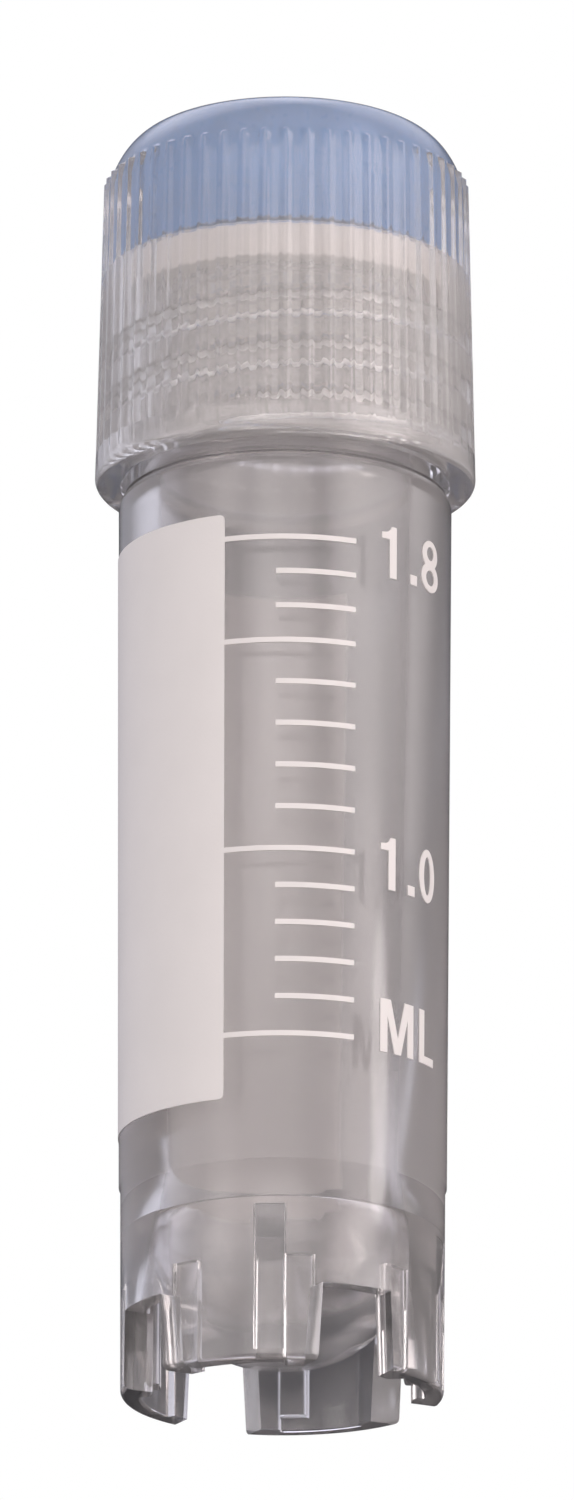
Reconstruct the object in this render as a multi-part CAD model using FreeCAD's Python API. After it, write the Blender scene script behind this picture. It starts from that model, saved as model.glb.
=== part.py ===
import FreeCAD
import Part
import math
import os

# Self-standing freezer vial for about two millilitres, with an external-thread
# screw cap.
#
# Frame: millimetres, +Z up along the vial's axis.  The origin is the centre of
# the foot, on the plane that the vial stands on.  The graduations face -Y.
# Directions round the axis are angles in degrees from the front (-Y), positive
# towards +X.  Screw threads are not modelled: the neck stands at the root of
# its thread, and the cap's bore at the root of its own.

# ---------------------------------------------------------------- vial body
SHOULDER_DIAMETER = 12.5
FOOT_DIAMETER = 12.0
SHOULDER_HEIGHT = 34.7
SHOULDER_ROUNDING = 0.5
FOOT_ROUNDING = 0.3
BORE_MOUTH_DIAMETER = 9.4
BORE_END_DIAMETER = 9.2
BORE_END_HEIGHT = 7.9

# --------------------------------------------------------------------- neck
NECK_DIAMETER = 10.9
NECK_LENGTH = 7.5
NECK_FILLET = 0.6
MOUTH_ROUNDING = 0.25

# ------------------------------------------- round cup that closes the tube
CUP_DIAMETER = 9.8
CUP_WALL = 0.9
CUP_GROUND_GAP = 1.2

# -------------------------------------------- skirt that the vial stands on
SKIRT_WALL = 0.8
SKIRT_DEPTH = 6.6

# ------------------- notches in the skirt, which lock the vial on rack studs
NOTCH_COUNT = 4
NOTCH_ANGLE = 28.0
NOTCH_FOOT_WIDTH = 3.1
NOTCH_TOP_WIDTH = 2.8
NOTCH_HEIGHT = 2.9
NOTCH_POST_OVERCUT = 0.2

# ------------- ribs from skirt to cup, and posts on both sides of each notch
RIB_COUNT = 4
RIB_ANGLE = -5.0
RIB_THICKNESS = 1.0
RIB_REACH = 0.85
RIB_GROUND_GAP = 0.5
POST_THICKNESS = 1.0
POST_HEIGHT = 4.1

# ---------------------------------------------------------------- cap shell
CAP_MOUTH_DIAMETER = 14.3
CAP_TOP_DIAMETER = 13.7
CAP_BORE_DIAMETER = 12.2
CAP_BORE_DEPTH = 8.4
CAP_WEB = 1.0
CAP_CORNER_ROUNDING = 1.9
CAP_RIM_ROUNDING = 0.3

# ------------------- grip ribs round the cap, left standing between grooves
GRIP_COUNT = 54
GRIP_DEPTH = 0.2
GRIP_FLOOR_WIDTH = 0.4
GRIP_FLANK = 0.06
GRIP_START = 1.1
GRIP_LENGTH = 10.9

# ----------------------------- colour insert pressed into the cap's top
INSERT_DIAMETER = 8.9
INSERT_HEIGHT = 4.3
INSERT_FLOOR = 1.3
INSERT_WALL = 1.0
INSERT_EDGE_ROUNDING = 0.3
INSERT_CLEARANCE = 0.03
INSERT_SETBACK = 0.1

# ------------------------------------------- soft washer that seals the mouth
WASHER_DIAMETER = 12.0
WASHER_HOLE_DIAMETER = 8.4
WASHER_THICKNESS = 1.3
SEAL_CLEARANCE = 0.03

# ------------------------------------------------ white print on the vial
PRINT_THICKNESS = 0.05
PANEL_BOTTOM = 9.8
PANEL_SHOULDER_GAP = 2.5
PANEL_EDGE_ANGLE = -21.0
PANEL_SWEEP = 187.0

# --------------------------------------------------- graduation lines
MARK_THICKNESS = 0.2
LONG_MARK_SWEEP = 46.0
SHORT_MARK_SWEEP = 28.0
FIRST_MARK_HEIGHT = 12.2
LOW_MARK_PITCH = 1.41
MIDDLE_MARK_PITCH = 1.6
TOP_MARK_PITCH = 1.33
LOW_MARK_STEPS = 5
MIDDLE_MARK_STEPS = 5
TOP_MARK_STEPS = 3

# ---------------------------------------------------- radii and heights
shoulder_radius = SHOULDER_DIAMETER / 2
foot_radius = FOOT_DIAMETER / 2
neck_radius = NECK_DIAMETER / 2
mouth_height = SHOULDER_HEIGHT + NECK_LENGTH
cup_radius = CUP_DIAMETER / 2
cup_bore_radius = cup_radius - CUP_WALL
cup_centre_height = CUP_GROUND_GAP + cup_radius
skirt_bore_radius = foot_radius - SKIRT_WALL
rib_inner_radius = skirt_bore_radius - RIB_REACH

washer_bottom = mouth_height + SEAL_CLEARANCE
washer_top = washer_bottom + WASHER_THICKNESS
web_bottom = washer_top + SEAL_CLEARANCE
recess_floor = web_bottom + CAP_WEB
cap_top = recess_floor + INSERT_HEIGHT + INSERT_SETBACK
cap_bottom = web_bottom - CAP_BORE_DEPTH
cap_bore_radius = CAP_BORE_DIAMETER / 2
recess_radius = INSERT_DIAMETER / 2 + INSERT_CLEARANCE

# A cutter runs this far past the face that it opens.
OVERRUN = 1.0


def body_radius(height):
    """Outer radius of the tapered body at a height."""
    taper = (shoulder_radius - foot_radius) / SHOULDER_HEIGHT
    return foot_radius + taper * height


def cap_radius(height):
    """Outer radius of the cap's tapered side, over its grip ribs."""
    mouth_radius = CAP_MOUTH_DIAMETER / 2
    top_radius = CAP_TOP_DIAMETER / 2
    share = (height - cap_bottom) / (cap_top - cap_bottom)
    return mouth_radius + (top_radius - mouth_radius) * share


def section_point(radius, height):
    return FreeCAD.Vector(radius, 0, height)


def arc_edge(start, middle, end):
    return Part.Arc(section_point(*start), section_point(*middle), section_point(*end)).toShape()


def section_edges(corners):
    """Edges of an open outline in the XZ plane.

    Each corner is (radius, height) or (radius, height, rounding).  A rounding
    replaces the corner by an arc that touches both of its sides.
    """
    edges = []
    pen = section_point(*corners[0][:2])
    for index in range(1, len(corners)):
        corner = corners[index]
        here = section_point(*corner[:2])
        if len(corner) == 2:
            edges.append(Part.makeLine(pen, here))
            pen = here
            continue
        back = (section_point(*corners[index - 1][:2]) - here).normalize()
        onward = (section_point(*corners[index + 1][:2]) - here).normalize()
        half_angle = back.getAngle(onward) / 2
        bisector = (back + onward).normalize()
        setback = corner[2] / math.tan(half_angle)
        bulge = corner[2] / math.sin(half_angle) - corner[2]
        arc_start = here + back * setback
        arc_end = here + onward * setback
        edges.append(Part.makeLine(pen, arc_start))
        edges.append(Part.Arc(arc_start, here + bisector * bulge, arc_end).toShape())
        pen = arc_end
    return edges


def lathe(edges, start_angle=0.0, sweep=360.0):
    """Turn a closed outline about the Z axis, from start_angle towards +X."""
    outline = Part.Wire(edges)
    turned = Part.Face(outline).revolve(FreeCAD.Vector(), FreeCAD.Vector(0, 0, 1), sweep)
    turned.rotate(FreeCAD.Vector(), FreeCAD.Vector(0, 0, 1), start_angle - 90)
    return turned


def lathe_corners(corners, start_angle=0.0, sweep=360.0):
    """Turn the outline through these corners, closed back to the first one."""
    return lathe(section_edges(corners + [corners[0][:2]]), start_angle, sweep)


def facing(shape, angle):
    """Turn a shape drawn along +X so that it lies at this angle."""
    turned = shape.copy()
    turned.rotate(FreeCAD.Vector(), FreeCAD.Vector(0, 0, 1), angle - 90)
    return turned


def equal_angles(count, first=0.0):
    return [first + index * 360.0 / count for index in range(count)]


# ------------------------------------------------------------------- vial

def vial_blank():
    """Outside of the vial, solid: tapered body, shoulder and neck."""
    return lathe_corners([
        (0, 0),
        (foot_radius, 0, FOOT_ROUNDING),
        (shoulder_radius, SHOULDER_HEIGHT, SHOULDER_ROUNDING),
        (neck_radius, SHOULDER_HEIGHT, NECK_FILLET),
        (neck_radius, mouth_height, MOUTH_ROUNDING),
        (0, mouth_height),
    ])


def bore_core():
    """Inside of the tube: tapered bore, cone and hemispherical end."""
    centre = cup_centre_height
    radius = cup_bore_radius
    slant = radius * math.sqrt(0.5)
    round_end = arc_edge((0, centre - radius), (slant, centre - slant), (radius, centre))
    sides = section_edges([
        (radius, centre),
        (BORE_END_DIAMETER / 2, BORE_END_HEIGHT),
        (BORE_MOUTH_DIAMETER / 2, mouth_height),
        (BORE_MOUTH_DIAMETER / 2, mouth_height + OVERRUN),
        (0, mouth_height + OVERRUN),
        (0, centre - radius),
    ])
    return lathe([round_end] + sides)


def rib_block():
    """Rib between skirt and cup, drawn along +X."""
    block = Part.makeBox(SKIRT_WALL + RIB_REACH, RIB_THICKNESS, SKIRT_DEPTH - RIB_GROUND_GAP)
    block.translate(FreeCAD.Vector(rib_inner_radius, -RIB_THICKNESS / 2, RIB_GROUND_GAP))
    return block


def post_blocks():
    """Pair of posts that frame a notch, drawn along +X."""
    posts = []
    for side in (-1, 1):
        post = Part.makeBox(SKIRT_WALL + RIB_REACH, POST_THICKNESS, POST_HEIGHT + OVERRUN)
        middle = side * (NOTCH_TOP_WIDTH + POST_THICKNESS) / 2
        post.translate(FreeCAD.Vector(rib_inner_radius, middle - POST_THICKNESS / 2, -OVERRUN))
        posts.append(post)
    return posts


def skirt_core():
    """Space inside the skirt and round the cup, with the ribs and posts left out."""
    centre = cup_centre_height
    radius = cup_radius
    slant = radius * math.sqrt(0.5)
    round_cup = arc_edge((radius, centre), (slant, centre - slant), (0, centre - radius))
    sides = section_edges([
        (0, centre - radius),
        (0, -OVERRUN),
        (skirt_bore_radius, -OVERRUN),
        (skirt_bore_radius, SKIRT_DEPTH),
        (radius, SKIRT_DEPTH),
        (radius, centre),
    ])
    ribs = [facing(rib_block(), angle) for angle in equal_angles(RIB_COUNT, RIB_ANGLE)]
    posts = []
    for angle in equal_angles(NOTCH_COUNT, NOTCH_ANGLE):
        posts.extend(facing(post, angle) for post in post_blocks())
    return lathe([round_cup] + sides).cut(ribs + posts)


def notch_cutter():
    """One notch through the skirt, wider at the foot, drawn along +X."""
    inner = rib_inner_radius - NOTCH_POST_OVERCUT
    flare = (NOTCH_FOOT_WIDTH - NOTCH_TOP_WIDTH) / 2 / NOTCH_HEIGHT
    foot_half = NOTCH_FOOT_WIDTH / 2 + flare * OVERRUN
    top_half = NOTCH_TOP_WIDTH / 2
    corners = [
        FreeCAD.Vector(inner, -foot_half, -OVERRUN),
        FreeCAD.Vector(inner, foot_half, -OVERRUN),
        FreeCAD.Vector(inner, top_half, NOTCH_HEIGHT),
        FreeCAD.Vector(inner, -top_half, NOTCH_HEIGHT),
    ]
    face = Part.Face(Part.makePolygon(corners + corners[:1]))
    return face.extrude(FreeCAD.Vector(foot_radius - inner + OVERRUN, 0, 0))


def make_vial():
    notches = [facing(notch_cutter(), angle) for angle in equal_angles(NOTCH_COUNT, NOTCH_ANGLE)]
    return vial_blank().cut([bore_core(), skirt_core()] + notches)


# -------------------------------------------------------------------- cap

def grip_groove():
    """Groove between two grip ribs, drawn along +X, leaning with the cap's side."""
    bottom = cap_bottom + GRIP_START
    lean = cap_radius(bottom + GRIP_LENGTH) - cap_radius(bottom)
    floor = cap_radius(bottom) - GRIP_DEPTH
    floor_half = GRIP_FLOOR_WIDTH / 2
    flank_slope = GRIP_FLANK / GRIP_DEPTH
    outer_half = floor_half + flank_slope * (GRIP_DEPTH + OVERRUN)
    corners = [
        FreeCAD.Vector(floor, -floor_half, bottom),
        FreeCAD.Vector(floor + GRIP_DEPTH + OVERRUN, -outer_half, bottom),
        FreeCAD.Vector(floor + GRIP_DEPTH + OVERRUN, outer_half, bottom),
        FreeCAD.Vector(floor, floor_half, bottom),
    ]
    section = Part.Face(Part.makePolygon(corners + corners[:1]))
    return section.extrude(FreeCAD.Vector(lean, 0, GRIP_LENGTH))


def make_cap_shell():
    """Cap with a threadless bore below its web and a recess above it."""
    wall = lathe_corners([
        (0, web_bottom),
        (cap_bore_radius, web_bottom),
        (cap_bore_radius, cap_bottom),
        (cap_radius(cap_bottom), cap_bottom, CAP_RIM_ROUNDING),
        (cap_radius(cap_top), cap_top, CAP_CORNER_ROUNDING),
        (recess_radius, cap_top),
        (recess_radius, recess_floor),
        (0, recess_floor),
    ])
    return wall.cut([facing(grip_groove(), angle) for angle in equal_angles(GRIP_COUNT)])


def make_cap_insert():
    """Coloured plug, an inverted cup whose wall stands on the recess floor."""
    radius = recess_radius - INSERT_CLEARANCE
    top = recess_floor + INSERT_HEIGHT
    return lathe_corners([
        (0, top),
        (0, top - INSERT_FLOOR),
        (radius - INSERT_WALL, top - INSERT_FLOOR),
        (radius - INSERT_WALL, recess_floor),
        (radius, recess_floor),
        (radius, top, INSERT_EDGE_ROUNDING),
    ])


def make_sealing_washer():
    """Flat ring between the vial's mouth and the cap's web."""
    return lathe_corners([
        (WASHER_HOLE_DIAMETER / 2, washer_bottom),
        (WASHER_DIAMETER / 2, washer_bottom),
        (WASHER_DIAMETER / 2, washer_top),
        (WASHER_HOLE_DIAMETER / 2, washer_top),
    ])


# ------------------------------------------------------------------ print

def print_patch(bottom, height, start_angle, sweep):
    """Thin layer of ink that follows the body's taper."""
    low = body_radius(bottom)
    high = body_radius(bottom + height)
    return lathe_corners([
        (low, bottom),
        (low + PRINT_THICKNESS, bottom),
        (high + PRINT_THICKNESS, bottom + height),
        (high, bottom + height),
    ], start_angle, sweep)


def make_writing_panel():
    height = SHOULDER_HEIGHT - PANEL_SHOULDER_GAP - PANEL_BOTTOM
    start = PANEL_EDGE_ANGLE - PANEL_SWEEP
    return print_patch(PANEL_BOTTOM, height, start, PANEL_SWEEP)


def make_graduation_marks():
    """Lines up the front: a long one at each change of pitch, short ones between."""
    runs = [
        (LOW_MARK_PITCH, LOW_MARK_STEPS),
        (MIDDLE_MARK_PITCH, MIDDLE_MARK_STEPS),
        (TOP_MARK_PITCH, TOP_MARK_STEPS),
    ]
    heights = [(FIRST_MARK_HEIGHT, LONG_MARK_SWEEP)]
    for pitch, steps in runs:
        base = heights[-1][0]
        for step in range(1, steps + 1):
            sweep = LONG_MARK_SWEEP if step == steps else SHORT_MARK_SWEEP
            heights.append((base + step * pitch, sweep))
    right_end = PANEL_EDGE_ANGLE + LONG_MARK_SWEEP
    marks = []
    for height, sweep in heights:
        bottom = height - MARK_THICKNESS / 2
        marks.append(print_patch(bottom, MARK_THICKNESS, right_end - sweep, sweep))
    return Part.makeCompound(marks)


# ------------------------------------------------------------------ nodes

NODES = {
    "vial": make_vial,
    "writing_panel": make_writing_panel,
    "graduation_marks": make_graduation_marks,
    "sealing_washer": make_sealing_washer,
    "cap_shell": make_cap_shell,
    "cap_insert": make_cap_insert,
}

os.makedirs("parts", exist_ok=True)
for name, make in NODES.items():
    shape = make()
    shape.exportStep("parts/" + name + ".step")
    print(name, "solids", len(shape.Solids), "valid", shape.isValid(), "mm3", round(shape.Volume, 2))
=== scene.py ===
"""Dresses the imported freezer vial: moulded tube, screw cap, insert, washer, print and studio.

Everything is in metres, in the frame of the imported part: +Z up along the vial's axis, with
the graduations facing -Y.  Directions round the axis are angles from the front (-Y),
positive towards +X.
"""

import math

import bmesh
import bpy
from mathutils import Matrix, Vector


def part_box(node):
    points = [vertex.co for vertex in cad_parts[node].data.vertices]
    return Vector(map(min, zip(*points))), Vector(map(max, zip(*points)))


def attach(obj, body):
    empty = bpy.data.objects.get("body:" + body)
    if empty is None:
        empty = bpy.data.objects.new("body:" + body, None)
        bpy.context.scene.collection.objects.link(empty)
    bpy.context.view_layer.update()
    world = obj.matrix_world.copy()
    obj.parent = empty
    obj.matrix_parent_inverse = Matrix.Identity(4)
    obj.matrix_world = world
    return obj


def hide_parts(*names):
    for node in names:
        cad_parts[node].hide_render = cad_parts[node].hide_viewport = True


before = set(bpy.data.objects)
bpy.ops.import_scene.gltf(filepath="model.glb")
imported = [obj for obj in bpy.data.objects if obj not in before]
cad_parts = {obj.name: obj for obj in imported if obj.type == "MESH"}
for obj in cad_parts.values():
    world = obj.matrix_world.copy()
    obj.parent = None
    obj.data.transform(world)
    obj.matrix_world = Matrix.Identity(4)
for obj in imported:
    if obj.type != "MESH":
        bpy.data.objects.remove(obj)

bl_info = {
    "name": "Freezer vial",
    "version": (1, 0, 0),
    "blender": (4, 5, 0),
    "location": "3D View > Sidebar > Vial",
    "description": "Models and finishes the pieces of a screw-cap freezer vial",
    "category": "Object",
}

MM = 0.001
MERGE_DISTANCE = 1e-7

# Mesh columns round the axis: of the tube, of insert and washer, and from the middle of
# one grip rib to the next
TUBE_STEPS = 192
RING_STEPS = 128
GRIP_COLUMNS = 8
# Mesh rows of a rounded corner, of a small one and of a bowl's wall
CORNER_STEPS = 6
SMALL_CORNER_STEPS = 4
BOWL_STEPS = 30
# Mesh rows of the cap's top edge, below and above the ribs' upper end
SIDE_STEPS = 8
DOME_STEPS = 24
# Small bevel at the cap's and the insert's sharp edges
EDGE = 0.1 * MM

# Steps of a printed corner, and width in degrees of a printed patch's mesh columns
PRINT_CORNER_STEPS = 5
PRINT_COLUMN = 2.0
# Width of a figure's mesh slices, and merge distance of its points, in millimetres
SLICE_WIDTH = 0.2
SLICE_MERGE = 1e-3

# Turns where a ridge of the thread starts and ends, counted from the front
NECK_TURNS = (-2.3, 0.15)
CAP_TURNS = (-2.1, 0.7)

_, tube_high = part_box("vial")
shell_low, shell_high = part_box("cap_shell")
_, insert_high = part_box("cap_insert")
washer_low, washer_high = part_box("sealing_washer")
panel_low, panel_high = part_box("writing_panel")
marks_low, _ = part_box("graduation_marks")


# ----------------------------------------------------------------- settings

def length(name, description, default):
    return bpy.props.FloatProperty(
        name=name, description=description, default=default, unit="LENGTH", precision=5
    )


def angle(name, description, degrees):
    return bpy.props.FloatProperty(
        name=name, description=description, default=math.radians(degrees), unit="ROTATION"
    )


def count(name, description, default):
    return bpy.props.IntProperty(name=name, description=description, default=default, min=1)


def factor(name, description, default):
    return bpy.props.FloatProperty(
        name=name, description=description, default=default, min=0.0, max=1.0, subtype="FACTOR"
    )


def amount(name, description, default):
    return bpy.props.FloatProperty(name=name, description=description, default=default, min=0.0)


def colour(name, description, default):
    return bpy.props.FloatVectorProperty(
        name=name, description=description, default=default, subtype="COLOR", min=0.0, max=1.0
    )


class TubeSizes(bpy.types.PropertyGroup):
    """Sizes of the tube, its neck and its foot"""

    shoulder_radius: length("Shoulder radius", "Widest radius of the body", tube_high.x)
    foot_radius: length("Foot radius", "Outer radius at the foot", 6.0 * MM)
    shoulder_height: length("Shoulder height", "Height of the shoulder", 34.7 * MM)
    shoulder_rounding: length("Shoulder rounding", "Radius of the shoulder's edge", 0.5 * MM)
    foot_rounding: length("Foot rounding", "Radius of the foot's outer edge", 0.25 * MM)
    foot_inner_rounding: length("Inner foot rounding", "Radius of the inner foot edge", 0.12 * MM)
    neck_radius: length("Neck radius", "Radius at the root of the neck's thread", 5.45 * MM)
    neck_fillet: length("Neck fillet", "Radius between neck and shoulder", 0.6 * MM)
    mouth_height: length("Mouth height", "Height of the mouth", tube_high.z)
    mouth_rounding: length("Mouth rounding", "Radius of the mouth's edges", 0.25 * MM)
    bore_mouth_radius: length("Mouth bore radius", "Bore radius at the mouth", 4.7 * MM)
    bore_end_radius: length("End bore radius", "Bore radius above the round end", 4.6 * MM)
    bore_end_height: length("Bore end height", "Height where the bore turns to its cone", 7.9 * MM)
    cup_radius: length("Cup radius", "Outer radius of the round end at its rim", 5.22 * MM)
    cup_gap: length("Cup gap", "Height of the round end over the ground", 1.2 * MM)
    cup_rim: length("Cup rim", "Height where the round end starts to curve in", 8.4 * MM)
    cup_floor: length("Cup floor", "Thickness of the round end's floor", 1.3 * MM)
    cup_bluntness: amount("Cup bluntness", "2 for a round end, more for a blunter one", 2.45)
    cup_crease: length("Cup crease", "Radius where the round end leaves the skirt", 0.05 * MM)
    seam_height: length("Seam height", "Height of the moulding step round the foot", 7.9 * MM)
    seam_step: length("Seam step", "How far the foot is set back under its seam", 0.06 * MM)
    skirt_wall: length("Skirt wall", "Wall of the foot's skirt", 0.8 * MM)
    rib_top: length("Rib top", "Height of the ribs' upper end", 6.0 * MM)
    notch_count: count("Notches", "Number of notches in the skirt", 4)
    notch_angle: angle("Notch angle", "Direction of the first notch", 28.0)
    notch_foot_width: length("Notch width", "Width of a notch at the foot", 3.1 * MM)
    notch_top_width: length("Notch top width", "Width of a notch at its top", 2.8 * MM)
    notch_height: length("Notch height", "Height of a notch", 2.9 * MM)
    rib_count: count("Ribs", "Number of long ribs inside the skirt", 4)
    rib_angle: angle("Rib angle", "Direction of the first rib", -5.0)
    rib_thickness: length("Rib thickness", "Thickness of ribs and posts", 1.0 * MM)
    rib_reach: length("Rib reach", "How far ribs stand inside the skirt", 0.7 * MM)
    post_reach: length("Post reach", "How far posts stand inside the skirt", 0.4 * MM)
    rib_gap: length("Rib gap", "Height of the ribs over the ground", 0.5 * MM)
    rib_rounding: length("Rib rounding", "Radius along the edges of ribs and posts", 0.16 * MM)
    rib_fillet: length("Rib fillet", "Radius where ribs and posts leave the skirt", 0.16 * MM)
    post_height: length("Post height", "Height of the posts beside a notch", 4.1 * MM)


class ThreadSizes(bpy.types.PropertyGroup):
    """Sizes of the screw thread on neck and cap"""

    pitch: length("Pitch", "Rise of the thread in one turn", 2.0 * MM)
    neck_crest_radius: length("Neck crest", "Radius over the neck's crest", 5.95 * MM)
    cap_crest_radius: length("Cap crest", "Radius inside the cap's crest", 5.6 * MM)
    root_width: length("Root width", "Width of a ridge at its root", 1.1 * MM)
    crest_width: length("Crest width", "Width of a ridge at its crest", 0.4 * MM)
    front_height: length("Front height", "Height of the neck's top ridge at the front", 41.3 * MM)
    row_height: length("Row height", "Height of the mesh rows under a thread", 0.085 * MM)
    fade: angle("Fade", "Turn over which a ridge rises from nothing", 40.0)


class CapSizes(bpy.types.PropertyGroup):
    """Sizes of the cap's shell, insert and washer"""

    mouth_radius: length("Mouth radius", "Outer radius at the cap's mouth", 7.15 * MM)
    top_radius: length("Top radius", "Outer radius at the cap's top", 6.85 * MM)
    bore_radius: length("Bore radius", "Radius at the root of the cap's thread", 6.1 * MM)
    web: length("Web", "Thickness of the web over the washer", 0.5 * MM)
    seal_clearance: length("Seal clearance", "Gap between washer and web", 0.03 * MM)
    insert_press: length("Insert press fit", "How far the insert is pressed in", 0.02 * MM)
    corner_width: length("Corner width", "How far in the top's rounded edge reaches", 2.1 * MM)
    corner_height: length("Corner height", "How far down the top's rounded edge reaches", 3.5 * MM)
    rim_rounding: length("Rim rounding", "Radius of the mouth's edges", 0.3 * MM)
    grip_count: count("Grip ribs", "Number of ribs round the cap", 54)
    grip_depth: length("Grip depth", "Depth of the grooves between the ribs", 0.07 * MM)
    grip_start: length("Grip start", "Height of the smooth lip under the ribs", 1.1 * MM)
    grip_length: length("Grip length", "Length of the ribs", 10.9 * MM)
    insert_radius: length("Insert radius", "Radius of the insert", insert_high.x)
    insert_floor: length("Insert top", "Thickness of the insert's top", 1.3 * MM)
    insert_wall: length("Insert wall", "Thickness of the insert's wall", 1.0 * MM)
    insert_rounding: length("Insert rounding", "Radius of the insert's edges", 0.3 * MM)
    washer_hole_radius: length("Washer hole", "Radius of the washer's hole", 4.2 * MM)
    washer_rounding: length("Washer rounding", "Radius of the washer's edges", 0.1 * MM)


class PrintSizes(bpy.types.PropertyGroup):
    """Sizes of the white print"""

    thickness: length("Ink thickness", "How far the ink stands out", 0.03 * MM)
    sunk: length("Ink depth", "How far the ink reaches into the wall", 0.02 * MM)
    panel_edge: angle("Panel edge", "Direction of the panel's right edge", -21.0)
    panel_sweep: angle("Panel sweep", "How far the panel reaches round the tube", 187.0)
    panel_corner: length("Panel corner", "Radius of the panel's corners", 0.2 * MM)
    line_height: length("Line height", "Thickness of a scale line", 0.2 * MM)
    long_sweep: angle("Long line", "Sweep of a long scale line", 46.0)
    short_sweep: angle("Short line", "Sweep of a short scale line", 28.0)
    low_pitch: length("Low pitch", "Spacing of the lowest lines", 1.41 * MM)
    middle_pitch: length("Middle pitch", "Spacing of the middle lines", 1.6 * MM)
    top_pitch: length("Top pitch", "Spacing of the highest lines", 1.33 * MM)
    top_baseline: length("Top baseline", "Height of the baseline of 1.8", 30.07 * MM)
    middle_baseline: length("Middle baseline", "Height of the baseline of 1.0", 18.05 * MM)
    unit_baseline: length("Unit baseline", "Height of the baseline of ML", 11.84 * MM)


class Finishes(bpy.types.PropertyGroup):
    """Colours and finishes of the materials"""

    tube: colour("Tube plastic", "Tint of the tube", (0.99, 0.97, 0.97))
    shell: colour("Cap plastic", "Tint of the cap's shell", (0.99, 0.97, 0.96))
    tube_haze: factor("Tube haze", "How milky the tube's outside and foot are", 0.08)
    bore_haze: factor("Bore haze", "How milky the tube's bore is", 0.21)
    cap_haze: factor("Cap haze", "How milky the cap is", 0.22)
    tube_roughness: factor("Tube roughness", "Roughness of the tube's skin", 0.08)
    cap_roughness: factor("Cap roughness", "Roughness of the cap's skin", 0.13)
    insert: colour("Insert", "Colour of the insert", (0.06, 0.27, 0.68))
    washer: colour("Washer", "Colour of the washer", (0.95, 0.9, 0.88))
    ink: colour("Ink", "Colour of the print", (0.74, 0.71, 0.7))
    index: amount("Refractive index", "Refractive index of the plastic", 1.49)


class StudioSettings(bpy.types.PropertyGroup):
    """Camera, floor and surroundings"""

    camera_distance: length("Camera distance", "Distance from the axis", 443.0 * MM)
    camera_drop: length("Camera drop", "How far the camera is below the foot", 111.4 * MM)
    camera_pitch: angle("Camera pitch", "How far the camera looks up", 17.1)
    camera_roll: angle("Camera roll", "How far the camera leans to its left", 0.2)
    camera_side: length("Camera side", "How far the camera is to the right of the axis", 0.1 * MM)
    camera_lens: amount("Focal length", "Focal length in millimetres", 298.2)
    floor_size: length("Floor size", "Side of the floor", 1.6)
    floor_colour: colour("Floor colour", "Colour of the floor", (0.86, 0.86, 0.85))
    room: amount("Room", "Brightness of the room all round", 0.05)


def settings():
    return bpy.context.scene.vial_settings


class VialSettings(bpy.types.PropertyGroup):
    """All settings of the vial"""

    tube: bpy.props.PointerProperty(type=TubeSizes)
    thread: bpy.props.PointerProperty(type=ThreadSizes)
    cap: bpy.props.PointerProperty(type=CapSizes)
    print: bpy.props.PointerProperty(type=PrintSizes)
    finish: bpy.props.PointerProperty(type=Finishes)
    studio: bpy.props.PointerProperty(type=StudioSettings)


# ----------------------------------------------------------------- outlines

def arc(radius, height, size, first, last, steps):
    """Points of an arc about (radius, height), from angle first to last in degrees."""
    points = []
    for index in range(steps + 1):
        turn = math.radians(first + (last - first) * index / steps)
        points.append((radius + size * math.cos(turn), height + size * math.sin(turn)))
    return points


def rounded(corners, steps=CORNER_STEPS):
    """Outline through (radius, height) corners; a third value rounds that corner by an arc."""
    points = []
    for index, corner in enumerate(corners):
        here = Vector(corner[:2])
        if len(corner) == 2:
            points.append(tuple(here))
            continue
        back = (Vector(corners[index - 1][:2]) - here).normalized()
        onward = (Vector(corners[index + 1][:2]) - here).normalized()
        half = back.angle(onward) / 2
        centre = here + (back + onward).normalized() * corner[2] / math.sin(half)
        start = here + back * corner[2] / math.tan(half) - centre
        sweep = start.angle_signed(here + onward * corner[2] / math.tan(half) - centre)
        for step in range(steps + 1):
            turn = -sweep * step / steps
            spun = Matrix.Rotation(turn, 2) @ start
            points.append(tuple(centre + spun))
    return points


def bowl(radius, rim, floor, bluntness, steps):
    """Points of a bowl's wall, from the middle of its floor to its rim."""
    points = []
    for index in range(steps + 1):
        turn = math.pi / 2 * index / steps
        across = radius * math.sin(turn) ** (2 / bluntness)
        points.append((across, rim - (rim - floor) * abs(math.cos(turn)) ** (2 / bluntness)))
    points[0] = (0.0, floor)
    points[-1] = (radius, rim)
    return points


def rows(start, end, spacing):
    """Points between two (radius, height) points, both left out, about this far apart."""
    number = max(1, round((Vector(end) - Vector(start)).length / spacing))
    return [tuple(Vector(start).lerp(Vector(end), index / number)) for index in range(1, number)]


# ------------------------------------------------------------ mesh helpers

def deselect():
    for obj in list(bpy.context.selected_objects):
        obj.select_set(False)
    bpy.context.view_layer.objects.active = None


def choose(obj):
    deselect()
    obj.select_set(True)
    bpy.context.view_layer.objects.active = obj


def in_edit_mode(obj, *steps):
    """Run these steps on all of an object's mesh in edit mode."""
    choose(obj)
    bpy.ops.object.mode_set(mode="EDIT")
    for step in steps:
        bpy.ops.mesh.select_all(action="SELECT")
        step()
    bpy.ops.object.mode_set(mode="OBJECT")


def tidy_seams():
    bpy.ops.mesh.remove_doubles(threshold=MERGE_DISTANCE)
    bpy.ops.mesh.select_all(action="SELECT")
    bpy.ops.mesh.normals_make_consistent(inside=False)


def placed(name, data):
    """New object in the scene for this mesh, curve or camera."""
    obj = bpy.data.objects.new(name, data)
    bpy.context.scene.collection.objects.link(obj)
    return obj


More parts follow.
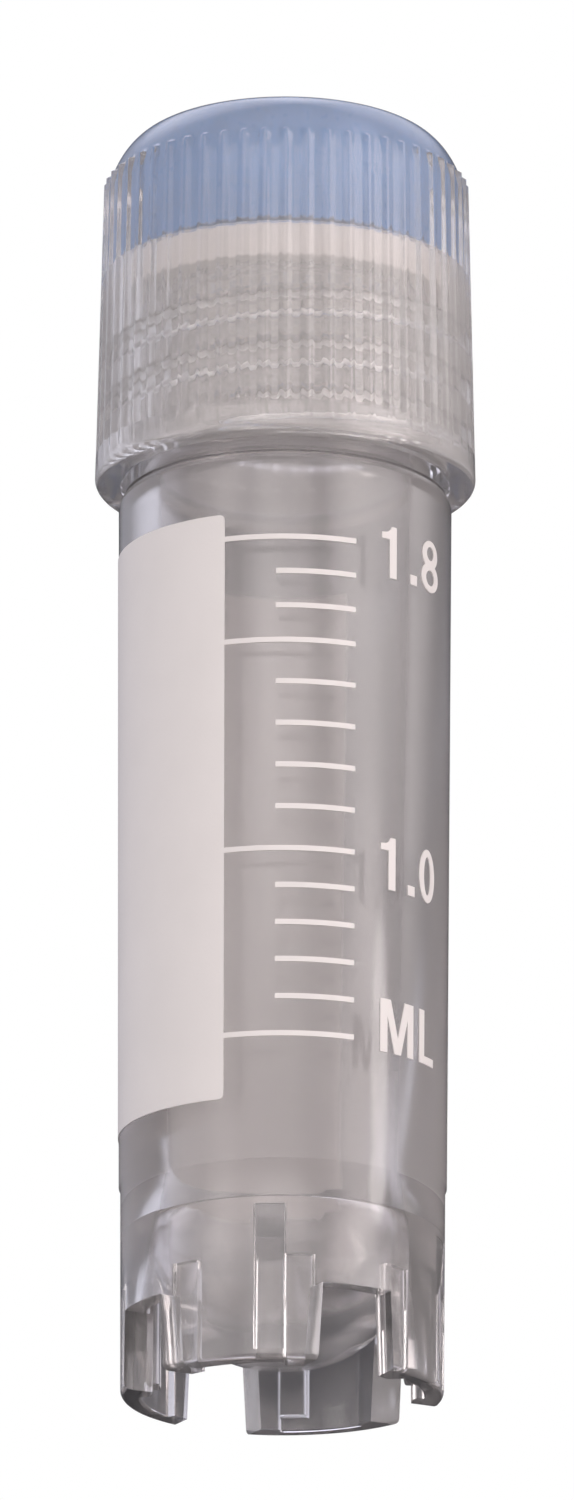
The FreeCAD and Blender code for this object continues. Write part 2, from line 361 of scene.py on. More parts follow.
def turned(name, points, steps=TUBE_STEPS):
    """Piece turned on the lathe: the outline spun right round the axis."""
    mesh = bpy.data.meshes.new(name)
    edges = [(index, index + 1) for index in range(len(points) - 1)]
    mesh.from_pydata([(radius, 0, height) for radius, height in points], edges, [])
    obj = placed(name, mesh)
    full_turn = {"angle": 2 * math.pi, "center": (0, 0, 0), "axis": (0, 0, 1)}
    in_edit_mode(obj, lambda: bpy.ops.mesh.spin(steps=steps, **full_turn), tidy_seams)
    return obj


def facing(obj, direction):
    """Turn a mesh drawn along +X so that it lies at this angle from the front."""
    obj.data.transform(Matrix.Rotation(direction - math.pi / 2, 4, "Z"))
    return obj


def equal_angles(number, first=0.0):
    return [first + index * 2 * math.pi / number for index in range(number)]


def block(name, low, high):
    """Block between two corners."""
    deselect()
    centre = (Vector(low) + Vector(high)) / 2
    bpy.ops.mesh.primitive_cube_add(size=1, location=centre, scale=Vector(high) - Vector(low))
    obj = bpy.context.active_object
    obj.name = name
    bpy.ops.object.transform_apply(location=True, rotation=True, scale=True)
    return obj


def modified(obj, kind, **values):
    """Give an object a modifier with these values, and apply it."""
    modifier = obj.modifiers.new(kind, kind)
    for key, value in values.items():
        setattr(modifier, key, value)
    choose(obj)
    bpy.ops.object.modifier_apply(modifier=modifier.name)
    return obj


def combine(target, tool, operation):
    """Join or cut the target by a tool, which is used up."""
    modified(target, "BOOLEAN", operation=operation, solver="EXACT", object=tool)
    bpy.data.objects.remove(tool)


def joined(objects):
    choose(objects[0])
    for obj in objects[1:]:
        obj.select_set(True)
    bpy.ops.object.join()
    return bpy.context.active_object


def smooth(obj, degrees):
    choose(obj)
    bpy.ops.object.shade_smooth_by_angle(angle=math.radians(degrees))


def set_in_place(obj, name, body, material, nodes, smooth_degrees=35.0):
    """Name, finish and seat a piece on its body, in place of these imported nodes."""
    obj.name = name
    obj.data.name = name
    obj.data.materials.clear()
    obj.data.materials.append(material_named(material))
    smooth(obj, smooth_degrees)
    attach(obj, body)
    if nodes:
        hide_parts(*nodes)
    deselect()


def clamp(value):
    return max(0.0, min(1.0, value))


def eased(value):
    value = clamp(value)
    return value * value * (3 - 2 * value)


def press_thread(obj, root, crest, front_height, turns):
    """Raise a right-hand ridge on the plain wall at the root radius.

    A turn is counted from the front, where the ridge's middle is at front_height for turn 0.
    """
    size = settings().thread
    first_turn, last_turn = turns
    on_root = 0.01 * MM
    half_root = size.root_width / 2
    half_crest = size.crest_width / 2
    low = front_height + size.pitch * first_turn - half_root
    high = front_height + size.pitch * last_turn + half_root
    for vertex in obj.data.vertices:
        place = vertex.co
        radius = math.hypot(place.x, place.y)
        if abs(radius - root) > on_root or not low < place.z < high:
            continue
        around = math.atan2(place.x, -place.y) / (2 * math.pi)
        whole = round((place.z - front_height) / size.pitch - around)
        turn = whole + around
        off = abs(place.z - front_height - size.pitch * turn)
        rise = eased((half_root - off) / (half_root - half_crest))
        end = min(turn - first_turn, last_turn - turn) * 2 * math.pi / size.fade
        radius = root + (crest - root) * rise * eased(end)
        direction = Vector((place.x, place.y, 0)).normalized()
        vertex.co = direction * radius + Vector((0, 0, place.z))


# --------------------------------------------------------------- materials

def new_material(name):
    material = bpy.data.materials.new(name)
    material.use_nodes = True
    return material, material.node_tree, material.node_tree.nodes["Principled BSDF"]


def add(tree, kind, **values):
    """New node; each value sets a property or, with _ for a space, an input socket."""
    node = tree.nodes.new(kind)
    for key, value in values.items():
        if hasattr(node, key):
            setattr(node, key, value)
        else:
            node.inputs[key.replace("_", " ")].default_value = value
    return node


def noise(tree, scale, detail):
    """Noise on the piece's own coordinates; scale is features per metre."""
    place = tree.nodes.get("Place") or add(tree, "ShaderNodeTexCoord", name="Place")
    node = add(tree, "ShaderNodeTexNoise", Scale=scale, Detail=detail)
    tree.links.new(place.outputs["Object"], node.inputs["Vector"])
    return node.outputs["Fac"]


def spread(tree, source, low, high, socket):
    """Map a pattern's middle range to low..high."""
    node = add(tree, "ShaderNodeMapRange", From_Min=0.3, From_Max=0.7, To_Min=low, To_Max=high)
    tree.links.new(source, node.inputs["Value"])
    tree.links.new(node.outputs["Result"], socket)


def two_tones(tree, source, first, second, socket):
    """Colour a pattern's middle range from the first tone to the second."""
    ramp = add(tree, "ShaderNodeValToRGB")
    elements = ramp.color_ramp.elements
    for element, position, tone in zip(elements, (0.35, 0.65), (first, second)):
        element.position = position
        element.color = (*tone, 1)
    tree.links.new(source, ramp.inputs["Fac"])
    tree.links.new(ramp.outputs["Color"], socket)


def bumps(tree, source, height, socket):
    node = add(tree, "ShaderNodeBump", Strength=1.0, Distance=height)
    tree.links.new(source, node.inputs["Height"])
    tree.links.new(node.outputs["Normal"], socket)


def mixed(tree, factor, first, second, output):
    """Show the first shader where the factor is 0, and the second where it is 1."""
    mix = add(tree, "ShaderNodeMixShader")
    for source, socket in zip((factor, first, second), mix.inputs):
        tree.links.new(source, socket)
    tree.links.new(mix.outputs["Shader"], output.inputs["Surface"])


def clouded(name, tint, darkest, cloud_scale):
    """Material whose tint darkens a little, down to this share, in soft clouds."""
    material, tree, shader = new_material(name)
    cloud = noise(tree, cloud_scale, detail=3.0)
    dark = tuple(channel * darkest for channel in tint)
    two_tones(tree, cloud, dark, tint, shader.inputs["Base Color"])
    return material, tree, shader


def grained(tree, shader, scale, detail, height, roughness):
    """Give a material's skin a grain: a bump height, and a roughness from low to high."""
    skin = noise(tree, scale, detail)
    spread(tree, skin, *roughness, shader.inputs["Roughness"])
    bumps(tree, skin, height, shader.inputs["Normal"])


def clear_plastic(name, tint, haze, roughness, skin_height):
    """Milky see-through plastic with a moulded skin."""
    material, tree, shader = clouded(name, tint, darkest=0.97, cloud_scale=260.0)
    span = (roughness * 0.8, roughness * 1.25)
    grained(tree, shader, scale=1500.0, detail=2.0, height=skin_height, roughness=span)
    shader.inputs["Transmission Weight"].default_value = 1 - haze
    shader.inputs["IOR"].default_value = settings().finish.index
    return material


def blue_insert():
    """Solid-colour plastic of the insert."""
    finish = settings().finish
    material, tree, shader = clouded("blue_insert", finish.insert, darkest=0.9, cloud_scale=500.0)
    grained(tree, shader, scale=2500.0, detail=3.0, height=0.002 * MM, roughness=(0.25, 0.38))
    shader.inputs["IOR"].default_value = finish.index
    return material


def soft_silicone():
    """Soft white silicone with a powdery skin."""
    tint = settings().finish.washer
    material, tree, shader = clouded("soft_silicone", tint, darkest=0.95, cloud_scale=600.0)
    grained(tree, shader, scale=6000.0, detail=3.0, height=0.004 * MM, roughness=(0.55, 0.7))
    shader.inputs["IOR"].default_value = 1.41
    return material


def matt_ink():
    """Matt screen-printing ink with a fine mesh grain."""
    tint = settings().finish.ink
    material, tree, shader = clouded("matt_ink", tint, darkest=0.97, cloud_scale=350.0)
    grained(tree, shader, scale=9000.0, detail=1.0, height=0.003 * MM, roughness=(0.45, 0.6))
    return material


def material_named(name):
    """The material of this name, made when it is first asked for."""
    finish = settings().finish
    tube_skin = (finish.tube_roughness, 0.0006 * MM)
    cap_skin = (finish.cap_roughness, 0.0004 * MM)
    makers = {
        "clear_tube": lambda: clear_plastic(name, finish.tube, finish.tube_haze, *tube_skin),
        "milky_bore": lambda: clear_plastic(name, finish.tube, finish.bore_haze, *tube_skin),
        "clear_cap": lambda: clear_plastic(name, finish.shell, finish.cap_haze, *cap_skin),
        "blue_insert": blue_insert,
        "soft_silicone": soft_silicone,
        "matt_ink": matt_ink,
    }
    return bpy.data.materials.get(name) or makers[name]()


# -------------------------------------------------------------------- tube

def wall_radius(height):
    """Outer radius of the tube's tapered wall."""
    size = settings().tube
    taper = (size.shoulder_radius - size.foot_radius) / size.shoulder_height
    return size.foot_radius + taper * height


def tube_outline(size, thread):
    """Half section of the tube, from the outer pole of its round end to the inner one."""
    bore_floor = size.cup_gap + size.cup_floor
    skirt_bore = size.foot_radius - size.skirt_wall
    bluntness = size.cup_bluntness
    fall = (1 - (skirt_bore / size.cup_radius) ** bluntness) ** (1 / bluntness)
    crease = (skirt_bore, size.cup_rim - (size.cup_rim - size.cup_gap) * fall)
    mouth = (size.neck_radius, size.mouth_height)
    neck_foot = (size.neck_radius, size.shoulder_height)
    thread_top = (size.neck_radius, size.mouth_height - size.mouth_rounding)
    bevel = 0.05 * MM
    crease_reach = 1.2 * MM
    outline = bowl(size.cup_radius, size.cup_rim, size.cup_gap, bluntness, 2 * BOWL_STEPS)
    outline = [point for point in outline if point[1] < crease[1] - crease_reach]
    outline += rounded([
        outline[-1],
        (*crease, size.cup_crease),
        (skirt_bore, 0, size.foot_inner_rounding),
        (size.foot_radius - size.seam_step, 0, size.foot_rounding),
        (wall_radius(size.seam_height) - size.seam_step, size.seam_height - bevel),
        (wall_radius(size.seam_height), size.seam_height + bevel),
        (size.shoulder_radius, size.shoulder_height, size.shoulder_rounding),
        (*neck_foot, size.neck_fillet),
        mouth,
    ])[1:-1]
    outline += rows(outline[-1], thread_top, thread.row_height)
    outline += rounded([
        neck_foot,
        (*mouth, size.mouth_rounding),
        (size.bore_mouth_radius, size.mouth_height, size.mouth_rounding),
        (size.bore_end_radius, size.bore_end_height),
    ])[1:]
    bore_end = bowl(size.bore_end_radius, size.bore_end_height, bore_floor, bluntness, BOWL_STEPS)
    outline += bore_end[-2::-1]
    return outline


def rib(size, reach, low, high, direction):
    """Upright rib inside the skirt, rounded along its edges and filleted into the wall."""
    wall = size.foot_radius - size.skirt_wall
    half = size.rib_thickness / 2
    rounding, fillet, steps = size.rib_rounding, size.rib_fillet, SMALL_CORNER_STEPS
    edge = arc(wall - reach + rounding, half - rounding, rounding, 180, 90, steps)
    root = arc(wall - fillet, half + fillet, fillet, -90, 0, steps)
    overlap = size.skirt_wall / 3
    flank = edge + root + [(wall + overlap, half + fillet)]
    section = flank + [(along, -across) for along, across in reversed(flank)]
    mesh = bpy.data.meshes.new("rib")
    points = [(along, across, low) for along, across in section]
    mesh.from_pydata(points, [], [tuple(range(len(points)))])
    obj = placed("rib", mesh)
    rise = {"value": (0, 0, high - low)}
    in_edit_mode(
        obj, lambda: bpy.ops.mesh.extrude_region_move(TRANSFORM_OT_translate=rise), tidy_seams
    )
    return facing(obj, direction)


def foot_ribs(size):
    """Long ribs inside the skirt, and the posts that frame each notch."""
    pieces = [
        rib(size, size.rib_reach, size.rib_gap, size.rib_top, direction)
        for direction in equal_angles(size.rib_count, size.rib_angle)
    ]
    middle = (size.notch_top_width + size.rib_thickness) / 2
    beside = math.asin(middle / (size.foot_radius - size.skirt_wall))
    for direction in equal_angles(size.notch_count, size.notch_angle):
        for side in (-beside, beside):
            pieces.append(rib(size, size.post_reach, 0.0, size.post_height, direction + side))
    body = pieces.pop(0)
    for piece in pieces:
        combine(body, piece, "UNION")
    return body


def foot_notches(size):
    """Cutters for the notches, wider at the foot."""
    overrun = 1.0 * MM
    clearance = 0.2 * MM
    inner = size.foot_radius - size.skirt_wall - size.rib_reach - clearance
    flare = (size.notch_foot_width - size.notch_top_width) / 2 / size.notch_height
    foot_half = size.notch_foot_width / 2 + flare * overrun
    top_half = size.notch_top_width / 2
    cutters = []
    for direction in equal_angles(size.notch_count, size.notch_angle):
        low = (inner, -top_half, -overrun)
        high = (size.shoulder_radius + overrun, top_half, size.notch_height)
        cutter = block("notch", low, high)
        for vertex in cutter.data.vertices:
            if vertex.co.z < 0:
                vertex.co.y *= foot_half / top_half
        cutters.append(facing(cutter, direction))
    return joined(cutters)


class VIAL_OT_mould_tube(bpy.types.Operator):
    """Model the clear tube with its threaded neck, round end and notched foot"""

    bl_idname = "vial.mould_tube"
    bl_label = "Mould the tube"
    bl_options = {"REGISTER", "UNDO"}

    def execute(self, context):
        size = settings().tube
        thread = settings().thread
        root, crest = size.neck_radius, thread.neck_crest_radius
        tube = turned("tube", tube_outline(size, thread))
        press_thread(tube, root, crest, thread.front_height, NECK_TURNS)
        combine(tube, foot_ribs(size), "UNION")
        combine(tube, foot_notches(size), "DIFFERENCE")
        set_in_place(tube, "tube", "vial", "clear_tube", ["vial"])
        tube.data.materials.append(material_named("milky_bore"))
        bore_reach = size.bore_mouth_radius + 0.05 * MM
        for face in tube.data.polygons:
            centre = face.center
            if centre.z > size.bore_end_height and math.hypot(centre.x, centre.y) < bore_reach:
                face.material_index = 1
        return {"FINISHED"}


# --------------------------------------------------------------------- cap

def cap_radius(size, height):
    """Radius of the cap's tapered side, over its grip ribs."""
    share = (height - shell_low.z) / (shell_high.z - shell_low.z)
    return size.mouth_radius + (size.top_radius - size.mouth_radius) * share


def dome_radius(size, height):
    """Radius of the rounded edge between the cap's side and its flat top."""
    start = shell_high.z - size.corner_height
    rise = clamp((height - start) / size.corner_height)
    return cap_radius(size, start) - size.corner_width * (1 - math.sqrt(1 - rise * rise))


def recess_floor(size):
    return washer_high.z + size.seal_clearance + size.web


def shell_outline(size, thread):
    """Half section of the cap's shell, from the web's underside round to its upper side."""
    web_low = washer_high.z + size.seal_clearance
    recess_radius = size.insert_radius - size.insert_press
    bottom, top = shell_low.z, shell_high.z
    grip_low = bottom + size.grip_start
    grip_high = grip_low + size.grip_length
    start = top - size.corner_height
    outline = [(0.0, web_low), (size.bore_radius, web_low)]
    bore_end = (size.bore_radius, bottom + size.rim_rounding / 2)
    outline += rows(outline[-1], bore_end, thread.row_height)
    outline += rounded([
        (size.bore_radius, web_low),
        (size.bore_radius, bottom, size.rim_rounding / 2),
        (cap_radius(size, bottom), bottom, size.rim_rounding),
        (cap_radius(size, grip_low), grip_low),
    ])[1:]
    shares = [index / SIDE_STEPS for index in range(SIDE_STEPS + 1)]
    heights = [start + (grip_high - EDGE - start) * share for share in shares]
    for height in (grip_low + EDGE, *heights):
        outline.append((cap_radius(size, height), height))
    first = math.asin((grip_high - start) / size.corner_height)
    for index in range(DOME_STEPS + 1):
        turn = first + (math.pi / 2 - first) * index / DOME_STEPS
        height = start + size.corner_height * math.sin(turn)
        outline.append((dome_radius(size, height), height))
    outline += rounded([
        outline[-1],
        (recess_radius, top, EDGE),
        (recess_radius, recess_floor(size)),
        (0.0, recess_floor(size)),
    ])[1:]
    return outline


def cut_grip(obj, size):
    """Sink the columns between grip ribs by the groove's depth, down to the rounded edge."""
    margin = 0.02 * MM
    low = shell_low.z + size.grip_start + margin
    high = shell_low.z + size.grip_start + size.grip_length - margin
    outer_wall = size.bore_radius + 0.3 * MM
    crest_columns, flank_columns = 0.6, 1.6
    step = 2 * math.pi / size.grip_count / GRIP_COLUMNS
    for vertex in obj.data.vertices:
        place = vertex.co
        radius = math.hypot(place.x, place.y)
        if not low < place.z < high or radius < outer_wall:
            continue
        column = round(math.atan2(place.x, -place.y) / step) % GRIP_COLUMNS
        beside = min(column, GRIP_COLUMNS - column)
        share = eased((beside - crest_columns) / flank_columns)
        groove = min(radius - size.grip_depth, dome_radius(size, place.z))
        place.xy *= 1 - share * (radius - groove) / radius


class VIAL_OT_mould_shell(bpy.types.Operator):
    """Model the ribbed see-through shell of the cap, with its inner thread and its recess"""

    bl_idname = "vial.mould_shell"
    bl_label = "Mould the cap's shell"
    bl_options = {"REGISTER", "UNDO"}

    def execute(self, context):
        size = settings().cap
        thread = settings().thread
        shell = turned("shell", shell_outline(size, thread), size.grip_count * GRIP_COLUMNS)
        cut_grip(shell, size)
        between = thread.front_height - thread.pitch / 2
        press_thread(shell, size.bore_radius, thread.cap_crest_radius, between, CAP_TURNS)
        set_in_place(
            shell, "cap_shell_skin", "cap", "clear_cap", ["cap_shell"],
            smooth_degrees=50.0,
        )
        return {"FINISHED"}


class VIAL_OT_mould_insert(bpy.types.Operator):
    """Model the colour insert in the cap's top"""

    bl_idname = "vial.mould_insert"
    bl_label = "Mould the insert"
    bl_options = {"REGISTER", "UNDO"}

    def execute(self, context):
        size = settings().cap
        radius = size.insert_radius
        top, bottom = insert_high.z, recess_floor(size) - size.insert_press
        inner = radius - size.insert_wall
        outline = rounded([
            (0.0, top - size.insert_floor),
            (inner, top - size.insert_floor, size.insert_rounding),
            (inner, bottom, EDGE),
            (radius, bottom, EDGE),
            (radius, top, size.insert_rounding),
            (0.0, top),
        ])
        insert = turned("insert", outline, RING_STEPS)
        set_in_place(
            insert, "colour_insert", "cap", "blue_insert", ["cap_insert"]
        )
        return {"FINISHED"}


class VIAL_OT_cut_washer(bpy.types.Operator):
    """Model the soft washer that seals the mouth"""

    bl_idname = "vial.cut_washer"
    bl_label = "Cut the washer"
    bl_options = {"REGISTER", "UNDO"}

    def execute(self, context):
        size = settings().cap
        inner, outer = size.washer_hole_radius, washer_high.x
        low, high = washer_low.z, washer_high.z
        seam = (inner, (low + high) / 2)
        section = [(inner, low), (outer, low), (outer, high), (inner, high)]
        ring = [(*corner, size.washer_rounding) for corner in section]
        outline = rounded([seam, *ring, seam], SMALL_CORNER_STEPS)
        washer = turned("washer", outline, RING_STEPS)
        set_in_place(
            washer, "washer", "washer", "soft_silicone", ["sealing_washer"]
        )
        return {"FINISHED"}


# ------------------------------------------------------------------- print

def on_wall(along, height):
    """Point on the print's face, at a direction round the tube and a height."""
    radius = wall_radius(height) + settings().print.thickness
    return (radius * math.sin(along), -radius * math.cos(along), height)


def inked(obj):
    """Give a sheet on the wall the ink's thickness, inwards."""
    size = settings().print
    return modified(obj, "SOLIDIFY", thickness=size.thickness + size.sunk, offset=-1.0)


def patch(name, first, last, low, high, corner=0.0):
    """Printed patch between two directions and two heights, with rounded corners."""
    radius = wall_radius((low + high) / 2)
    turns = [math.pi / 2 * step / PRINT_CORNER_STEPS for step in range(PRINT_CORNER_STEPS + 1)]
    ends = [corner * (1 - math.cos(turn)) / radius for turn in turns]
    number = max(2, round((last - first) / math.radians(PRINT_COLUMN)))
    middle = [first + (last - first) * index / number for index in range(1, number)]
    middle = [along for along in middle if first + ends[-1] < along < last - ends[-1]]
    directions = sorted({first + end for end in ends} | {last - end for end in ends} | set(middle))
    mesh = bmesh.new()
    columns = []
    for along in directions:
        inset = clamp(1 - min(along - first, last - along) * radius / corner) if corner else 0.0
        drop = corner * (1 - math.sqrt(1 - inset * inset))
        foot, head = on_wall(along, low + drop), on_wall(along, high - drop)
        columns.append((mesh.verts.new(foot), mesh.verts.new(head)))
    for left, right in zip(columns, columns[1:]):
        mesh.faces.new((left[0], right[0], right[1], left[1]))
    data = bpy.data.meshes.new(name)
    mesh.to_mesh(data)
    mesh.free()
    return inked(placed(name, data))


def oval(centre, half, start=0.0, steps=40):
    """Closed outline of an ellipse, counter-clockwise from a start angle in degrees."""
    turns = [math.radians(start) + 2 * math.pi * index / steps for index in range(steps)]
    return [(centre[0] + half[0] * math.cos(t), centre[1] + half[1] * math.sin(t)) for t in turns]


def outside(points, centre, half):
    """Those points that aren't inside an ellipse."""
    kept = []
    for point in points:
        across, up = ((point[axis] - centre[axis]) / half[axis] for axis in (0, 1))
        if across ** 2 + up ** 2 > 1:
            kept.append(point)
    return kept


def eight():
    """Outlines of the figure 8: two lobes run together, and their two holes."""
    middle = 0.62
    upper, upper_half = (middle, 1.46), (0.55, 0.54)
    lower, lower_half = (middle, 0.57), (0.61, 0.57)
    rim = outside(oval(upper, upper_half, -90), lower, lower_half)
    rim += outside(oval(lower, lower_half, 90), upper, upper_half)
    return [rim, oval((middle, 1.5), (0.25, 0.27)), oval((middle, 0.55), (0.3, 0.3))]


# Outlines of the figures in millimetres, from the left end of the baseline; a figure is
# about two millimetres tall and its strokes about a third of a millimetre wide
FIGURES = {
    "1": [[(0.36, 0), (0.69, 0), (0.69, 2), (0.45, 2), (0.38, 1.86), (0.24, 1.77), (0, 1.74),
           (0, 1.5), (0.36, 1.5)]],
    ".": [[(0, 0), (0.38, 0), (0.38, 0.38), (0, 0.38)]],
    "0": [oval((0.54, 1), (0.54, 1.02)), oval((0.54, 1), (0.23, 0.74))],
    "8": eight(),
    "M": [[(0, 0), (0.33, 0), (0.33, 1.4), (0.68, 0), (1.0, 0), (1.35, 1.4), (1.35, 0), (1.68, 0),
           (1.68, 2.03), (1.19, 2.03), (0.84, 0.6), (0.49, 2.03), (0, 2.03)]],
    "L": [[(0, 0), (1.0, 0), (1.0, 0.3), (0.33, 0.3), (0.33, 2.03), (0, 2.03)]],
}


def figure(text, start, baseline):
    """Printed character whose left end is at this direction, standing on a baseline."""
    curve = bpy.data.curves.new(text, "CURVE")
    curve.dimensions = "2D"
    curve.fill_mode = "BOTH"
    for outline in FIGURES[text]:
        spline = curve.splines.new("POLY")
        spline.points.add(len(outline) - 1)
        for point, (across, up) in zip(spline.points, outline):
            point.co = (across, up, 0, 1)
        spline.use_cyclic_u = True
    choose(placed(text, curve))
    bpy.ops.object.convert(target="MESH")
    letter = bpy.context.active_object
    slices = bmesh.new()
    slices.from_mesh(letter.data)
    bmesh.ops.remove_doubles(slices, verts=slices.verts, dist=SLICE_MERGE)
    width = max(vertex.co.x for vertex in slices.verts)
    for index in range(1, round(width / SLICE_WIDTH)):
        parts = slices.verts[:] + slices.edges[:] + slices.faces[:]
        cut = (SLICE_WIDTH * index, 0, 0)
        bmesh.ops.bisect_plane(slices, geom=parts, plane_co=cut, plane_no=(1, 0, 0))
    for vertex in slices.verts:
        height = baseline + vertex.co.y * MM
        vertex.co = on_wall(start + vertex.co.x * MM / wall_radius(height), height)
    slices.to_mesh(letter.data)
    slices.free()
    return inked(letter)


class VIAL_OT_print_panel(bpy.types.Operator):
    """Print the white writing panel"""

    bl_idname = "vial.print_panel"
    bl_label = "Print the writing panel"
    bl_options = {"REGISTER", "UNDO"}

    def execute(self, context):
        size = settings().print
        first, last = size.panel_edge - size.panel_sweep, size.panel_edge
        panel = patch("panel", first, last, panel_low.z, panel_high.z, size.panel_corner)
        set_in_place(panel, "panel_print", "vial", "matt_ink", ["writing_panel"])
        return {"FINISHED"}


class VIAL_OT_print_scale(bpy.types.Operator):
    """Print the graduation lines"""

    bl_idname = "vial.print_scale"
    bl_label = "Print the scale lines"
    bl_options = {"REGISTER", "UNDO"}

    def execute(self, context):
        size = settings().print
        last = size.panel_edge + size.long_sweep
        # Each part of the scale has a spacing and a number of lines, and ends in a long one
        scale = [(marks_low.z + size.line_height / 2, size.long_sweep)]
        for pitch, steps in ((size.low_pitch, 5), (size.middle_pitch, 5), (size.top_pitch, 3)):
            base = scale[-1][0]
            for step in range(1, steps + 1):
                sweep = size.long_sweep if step == steps else size.short_sweep
                scale.append((base + step * pitch, sweep))
        lines = []
        for middle, sweep in scale:
            low = middle - size.line_height / 2
            lines.append(patch("line", last - sweep, last, low, low + size.line_height))
        set_in_place(
            joined(lines), "scale_lines", "vial", "matt_ink", ["graduation_marks"]
        )
        return {"FINISHED"}


class VIAL_OT_print_figures(bpy.types.Operator):
    """Print the figures and the unit beside the scale"""

    bl_idname = "vial.print_figures"
    bl_label = "Print the figures"
    bl_options = {"REGISTER", "UNDO"}

    def execute(self, context):
        size = settings().print
        # Each character with the direction of its left end, in degrees
        lines = {
            "figures_top": (size.top_baseline, (("1", 35.2), (".", 48.3), ("8", 54.3))),
            "figures_middle": (size.middle_baseline, (("1", 35.4), (".", 48.0), ("0", 54.2))),
            "figures_unit": (size.unit_baseline, (("M", 35.5), ("L", 54.8))),
        }
        for name, (baseline, letters) in lines.items():
            pieces = [figure(text, math.radians(start), baseline) for text, start in letters]
            set_in_place(joined(pieces), name, "vial", "matt_ink", [])
        return {"FINISHED"}


# ------------------------------------------------------------------- stage

def add_camera(studio):
    data = bpy.data.cameras.new("camera")
    data.lens = studio.camera_lens
    data.sensor_width = 36.0
    camera = placed("camera", data)
    camera.location = (studio.camera_side, -studio.camera_distance, -studio.camera_drop)
    tilt = Matrix.Rotation(math.pi / 2 + studio.camera_pitch, 3, "X")
    camera.rotation_euler = (tilt @ Matrix.Rotation(studio.camera_roll, 3, "Z")).to_euler()
    data.clip_start = 0.01
    data.clip_end = 20.0
    bpy.context.scene.camera = camera


def soft_patch(tree, place, direction, elevation, core, edge, brightness, tint):
    """Round patch of light in the room: full inside the core angle, gone at the edge angle."""
    direction, elevation, core, edge = map(math.radians, (direction, elevation, core, edge))
    towards = add(tree, "ShaderNodeVectorMath", operation="DOT_PRODUCT")
    towards.inputs[1].default_value = (
        math.sin(direction) * math.cos(elevation),
        -math.cos(direction) * math.cos(elevation),
        math.sin(elevation),
    )
    tree.links.new(place, towards.inputs[0])
    fade = add(tree, "ShaderNodeMapRange", interpolation_type="SMOOTHSTEP")
    fade.inputs["From Min"].default_value = math.cos(edge)
    fade.inputs["From Max"].default_value = math.cos(core)
    fade.inputs["To Max"].default_value = brightness
    tree.links.new(towards.outputs["Value"], fade.inputs["Value"])
    glow = add(tree, "ShaderNodeBackground", Color=(*tint, 1))
    tree.links.new(fade.outputs["Result"], glow.inputs["Strength"])
    return glow.outputs["Background"]


# The lights of the room: direction, elevation, core angle and edge angle in degrees, then
# brightness and tint
WARM, WHITE, COOL = (1.07, 0.94, 0.92), (1.02, 0.96, 0.95), (0.93, 0.94, 1.08)
LIGHTS = {
    "wide fill, right": (90, -15, 30, 80, 0.32, WHITE),
    "front": (0, 0, 8, 34, 2.0, WHITE),
    "front, left": (330, 10, 8, 34, 1.2, WHITE),
    "low, right": (60, -15, 5, 26, 2.4, WARM),
    "high, right": (60, 25, 8, 34, 2.3, WHITE),
    "spot, right": (70, -6, 3, 9, 4.5, WHITE),
    "low, left": (300, -10, 8, 34, 1.9, WHITE),
    "back, left": (240, 25, 12, 50, 0.68, COOL),
    "above, back left": (210, 60, 5, 28, 1.6, COOL),
    "above, back right": (150, 55, 5, 28, 1.2, COOL),
}


def build_world(studio):
    """White for the camera; for the rest a dim room with soft patches of light."""
    world = bpy.data.worlds.new("studio")
    world.use_nodes = True
    tree = world.node_tree
    tree.nodes.clear()
    place = add(tree, "ShaderNodeTexCoord").outputs["Generated"]
    glows = [soft_patch(tree, place, *light) for light in LIGHTS.values()]
    dim = add(tree, "ShaderNodeBackground", Color=(*COOL, 1), Strength=studio.room)
    room = dim.outputs["Background"]
    for glow in glows:
        total = add(tree, "ShaderNodeAddShader")
        tree.links.new(room, total.inputs[0])
        tree.links.new(glow, total.inputs[1])
        room = total.outputs["Shader"]
    backdrop = add(tree, "ShaderNodeBackground", Color=(1, 1, 1, 1))
    seen = add(tree, "ShaderNodeLightPath").outputs["Is Camera Ray"]
    output = add(tree, "ShaderNodeOutputWorld")
    mixed(tree, seen, room, backdrop.outputs["Background"], output)
    bpy.context.scene.world = world


def floor_paint(studio):
    """Pale matt paint on the floor's upper side; its lower side lets everything through."""
    tint = studio.floor_colour
    material, tree, shader = clouded("floor_paint", tint, darkest=0.985, cloud_scale=40.0)
    shader.inputs["Roughness"].default_value = 0.7
    below = add(tree, "ShaderNodeNewGeometry").outputs["Backfacing"]
    clear = add(tree, "ShaderNodeBsdfTransparent").outputs["BSDF"]
    mixed(tree, below, shader.outputs["BSDF"], clear, tree.nodes["Material Output"])
    return material


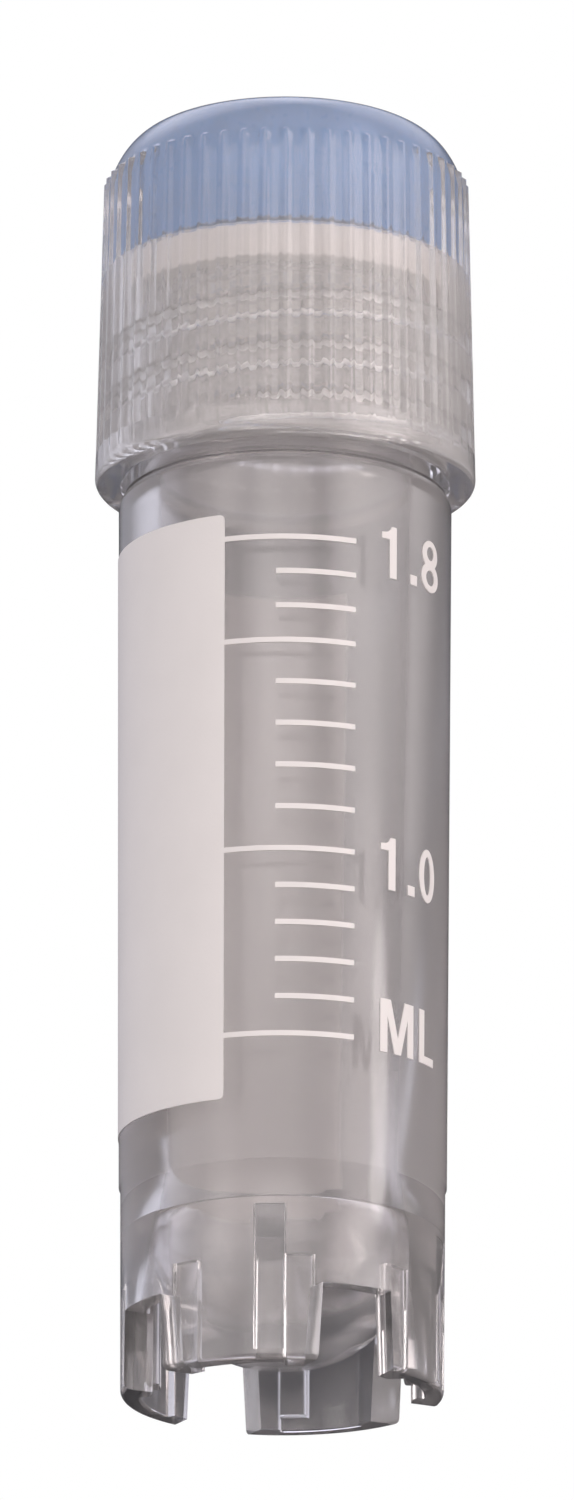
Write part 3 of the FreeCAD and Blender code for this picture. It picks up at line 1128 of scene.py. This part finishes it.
class VIAL_OT_set_stage(bpy.types.Operator):
    """Set up the floor, the studio light and the camera"""

    bl_idname = "vial.set_stage"
    bl_label = "Set the stage"
    bl_options = {"REGISTER", "UNDO"}

    def execute(self, context):
        studio = settings().studio
        deselect()
        just_below = -0.02 * MM
        bpy.ops.mesh.primitive_plane_add(size=studio.floor_size, location=(0, 0, just_below))
        floor = context.active_object
        floor.name = "floor"
        floor.data.materials.append(floor_paint(studio))
        # The room lights the vial from all round, so the floor shows to the camera alone
        for ray in ("diffuse", "glossy", "transmission", "shadow"):
            setattr(floor, "visible_" + ray, False)
        build_world(studio)
        context.scene.view_settings.view_transform = "Standard"
        add_camera(studio)
        deselect()
        return {"FINISHED"}


# ------------------------------------------------------------------- panel

STEPS = (
    VIAL_OT_mould_tube,
    VIAL_OT_mould_shell,
    VIAL_OT_mould_insert,
    VIAL_OT_cut_washer,
    VIAL_OT_print_panel,
    VIAL_OT_print_scale,
    VIAL_OT_print_figures,
    VIAL_OT_set_stage,
)


class VIAL_PT_steps(bpy.types.Panel):
    """Buttons that model the vial piece by piece"""

    bl_idname = "VIAL_PT_steps"
    bl_label = "Freezer vial"
    bl_space_type = "VIEW_3D"
    bl_region_type = "UI"
    bl_category = "Vial"

    def draw(self, context):
        for step in STEPS:
            self.layout.operator(step.bl_idname)
        for group in ("tube", "thread", "cap", "print", "finish", "studio"):
            box = self.layout.box()
            sizes = getattr(settings(), group)
            for name in sizes.__annotations__:
                box.prop(sizes, name)


CLASSES = (
    TubeSizes,
    ThreadSizes,
    CapSizes,
    PrintSizes,
    Finishes,
    StudioSettings,
    VialSettings,
    *STEPS,
    VIAL_PT_steps,
)


def register():
    for kind in CLASSES:
        bpy.utils.register_class(kind)
    bpy.types.Scene.vial_settings = bpy.props.PointerProperty(type=VialSettings)


def unregister():
    del bpy.types.Scene.vial_settings
    for kind in reversed(CLASSES):
        bpy.utils.unregister_class(kind)


def corners(bounds):
    return [list(corner) for corner in bounds]


def main():
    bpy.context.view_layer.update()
    register()
    for step in STEPS:
        group, name = step.bl_idname.split(".")
        getattr(getattr(bpy.ops, group), name)()


if __name__ == "__main__":
    main()
